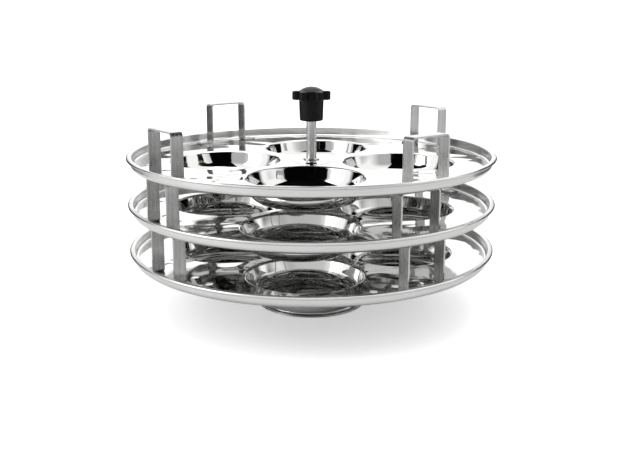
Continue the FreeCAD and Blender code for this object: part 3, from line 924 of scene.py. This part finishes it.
def add_softbox(name, place, target, width, height, power):
    """A rectangular light turned towards a point."""
    light = bpy.data.lights.new(name, "AREA")
    light.shape = "RECTANGLE"
    light.size, light.size_y, light.energy = width, height, power
    lamp = bpy.data.objects.new(name, light)
    lamp.location = place
    lamp.rotation_euler = (target - Vector(place)).to_track_quat("-Z", "Y").to_euler()
    bpy.context.scene.collection.objects.link(lamp)


def set_on_stage(name, mesh, material):
    """Makes a piece of the studio of a finished mesh."""
    data = bpy.data.meshes.new(name)
    mesh.to_mesh(data)
    mesh.free()
    data.materials.append(material)
    card = bpy.data.objects.new(name, data)
    bpy.context.scene.collection.objects.link(card)
    return card


def add_card(name, corners, material):
    """A flat card from its four corners."""
    mesh = bmesh.new()
    mesh.faces.new([mesh.verts.new(corner) for corner in corners])
    return set_on_stage(name, mesh, material)


def add_floor(name, reach, level, material):
    """A square of floor round the upright axis."""
    return add_card(name, [(-reach, -reach, level), (reach, -reach, level), (reach, reach, level),
                           (-reach, reach, level)], material)


def only_mirrored(card):
    """Leaves a card to reflections alone."""
    card.visible_camera = card.visible_diffuse = card.visible_shadow = False


def add_flag(name, arc, material):
    """An upright black flag bent round the stand, which only reflections show."""
    first, last = (math.radians(angle) for angle in arc)
    mesh = bmesh.new()
    foot = Vector((math.sin(first), -math.cos(first), 0.0)) * FLAG_REACH
    edge = mesh.edges.new([mesh.verts.new(foot), mesh.verts.new(foot + UP * FLAG_HEIGHT)])
    bmesh.ops.spin(mesh, geom=[edge, *edge.verts], cent=(0, 0, 0), axis=UP, angle=last - first, steps=12,
                   use_merge=False, use_duplicate=False)
    only_mirrored(set_on_stage(name, mesh, material))


def dark_patch(nodes, links, azimuth, elevation, patch):
    """The share of light that a soft-edged patch of the room takes away, 0 outside it."""
    turn, half_width, rise, half_height, soft = (math.radians(angle) for angle in patch[:5])
    inside = []
    for angle, middle, half in ((azimuth, turn, half_width), (elevation, rise, half_height)):
        off = math_node(nodes, links, "ABSOLUTE", math_node(nodes, links, "SUBTRACT", angle, middle))
        inside.append(remapped(nodes, links, off, half - soft, half + soft, 1.0, 0.0))
    return math_node(nodes, links, "MULTIPLY", math_node(nodes, links, "MULTIPLY", *inside), patch[5])


def white_room(strength):
    """A white room with a few dark openings, which give the polished steel its contrast."""
    world = bpy.data.worlds.new("White room")
    world.use_nodes = True
    nodes, links = world.node_tree.nodes, world.node_tree.links
    source = add_node(nodes, "ShaderNodeTexCoord")
    split = add_node(nodes, "ShaderNodeSeparateXYZ")
    links.new(source.outputs["Generated"], split.inputs["Vector"])
    forward = math_node(nodes, links, "MULTIPLY", split.outputs["Y"], -1.0)
    azimuth = math_node(nodes, links, "ARCTAN2", split.outputs["X"], forward)
    elevation = math_node(nodes, links, "ARCSINE", split.outputs["Z"])
    bright = None
    for patch in DARK_PATCHES:
        taken = dark_patch(nodes, links, azimuth, elevation, patch)
        left = math_node(nodes, links, "SUBTRACT", 1.0, taken)
        bright = math_node(nodes, links, "MULTIPLY", bright, left) if bright else left
    path = add_node(nodes, "ShaderNodeLightPath")
    seen = math_node(nodes, links, "MAXIMUM", bright, path.outputs["Is Camera Ray"])
    room = nodes["Background"]
    room.inputs["Color"].default_value = (1.0, 1.0, 1.0, 1.0)
    links.new(math_node(nodes, links, "MULTIPLY", seen, strength), room.inputs["Strength"])
    return world


def add_camera(settings, target):
    """The camera, in front of the stand and a little above it."""
    data = bpy.data.cameras.new("Camera")
    data.lens = settings.lens
    data.sensor_width = settings.sensor
    data.shift_x, data.shift_y = settings.shift_across, settings.shift_up
    camera = bpy.data.objects.new("Camera", data)
    back = Vector((0.0, -math.cos(settings.elevation), math.sin(settings.elevation)))
    camera.location = target + back * settings.distance
    camera.rotation_euler = (-back).to_track_quat("-Z", "Y").to_euler()
    bpy.context.scene.collection.objects.link(camera)
    bpy.context.scene.camera = camera


class STAND_OT_studio(bpy.types.Operator):
    """Build the floor, the light and the camera"""
    bl_idname = "stand.studio"
    bl_label = "Studio"

    def execute(self, context):
        settings = context.scene.stand_studio
        table = cad_box[0][2]
        reach, apart = 8.0, 0.05 * MM
        add_floor("floor", reach, table, white_floor(settings.floor_color, settings.floor_glow))
        # a grey copy of the floor that only reflections show: painted shade on the floor as the steel mirrors
        # it
        only_mirrored(add_floor("floor_in_reflections", reach, table + apart, shaded_floor_copy()))
        cloth = black_flag()
        wide, front, foot, over = CLOTH_HALF, CLOTH_FRONT, CLOTH_FOOT, CLOTH_TOP
        only_mirrored(add_card("front_flag", [(-wide, front, foot), (wide, front, foot), (wide, front, over),
                                              (-wide, front, over)], cloth))
        only_mirrored(add_card("hung_flag", [(-wide, front, over), (wide, front, over), (wide, 0.0, over),
                                             (-wide, 0.0, over)], cloth))
        for number, arc in enumerate(FLAG_ARCS, start=1):
            add_flag(f"side_flag_{number}", arc, cloth)

        context.scene.world = white_room(settings.sky)

        target = Vector((0.0, 0.0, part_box("middle_pan")[1].z - 0.5 * MM))
        add_softbox("left_softbox", place=(-1.2, -0.5, 0.7), target=target, width=0.8, height=1.1,
                    power=settings.side_light)
        add_softbox("top_softbox", place=(0.1, 0.3, 1.4), target=target, width=1.2, height=1.2,
                    power=settings.top_light)
        add_camera(settings, target)
        context.scene.view_settings.view_transform = "Standard"
        context.scene.cycles.glossy_bounces = 10
        context.scene.cycles.max_bounces = 14
        return {"FINISHED"}


# ---------------------------------------------------------------- sidebar and registration

STEPS = (STAND_OT_pans, STAND_OT_arches, STAND_OT_spindle, STAND_OT_base, STAND_OT_knob, STAND_OT_studio)


class STAND_PT_steps(bpy.types.Panel):
    """Lists the steps that build the stand"""
    bl_idname = "STAND_PT_steps"
    bl_label = "Cake stand"
    bl_space_type = "VIEW_3D"
    bl_region_type = "UI"
    bl_category = "Cake stand"

    def draw(self, context):
        for step in STEPS:
            self.layout.operator(step.bl_idname)


GROUPS = {
    "stand_pan": PanSizes,
    "stand_strap": StrapSizes,
    "stand_spindle": SpindleSizes,
    "stand_dish": DishSizes,
    "stand_knob": KnobSizes,
    "stand_studio": StudioSettings,
}


def register():
    for cls in (*GROUPS.values(), *STEPS, STAND_PT_steps):
        bpy.utils.register_class(cls)
    for name, group in GROUPS.items():
        setattr(bpy.types.Scene, name, PointerProperty(type=group))


def unregister():
    for name in GROUPS:
        delattr(bpy.types.Scene, name)
    for cls in reversed((*GROUPS.values(), *STEPS, STAND_PT_steps)):
        bpy.utils.unregister_class(cls)


def main():
    register()
    bpy.ops.stand.pans()
    bpy.ops.stand.arches()
    bpy.ops.stand.spindle()
    bpy.ops.stand.base()
    bpy.ops.stand.knob()
    bpy.ops.stand.studio()


if __name__ == "__main__":
    main()
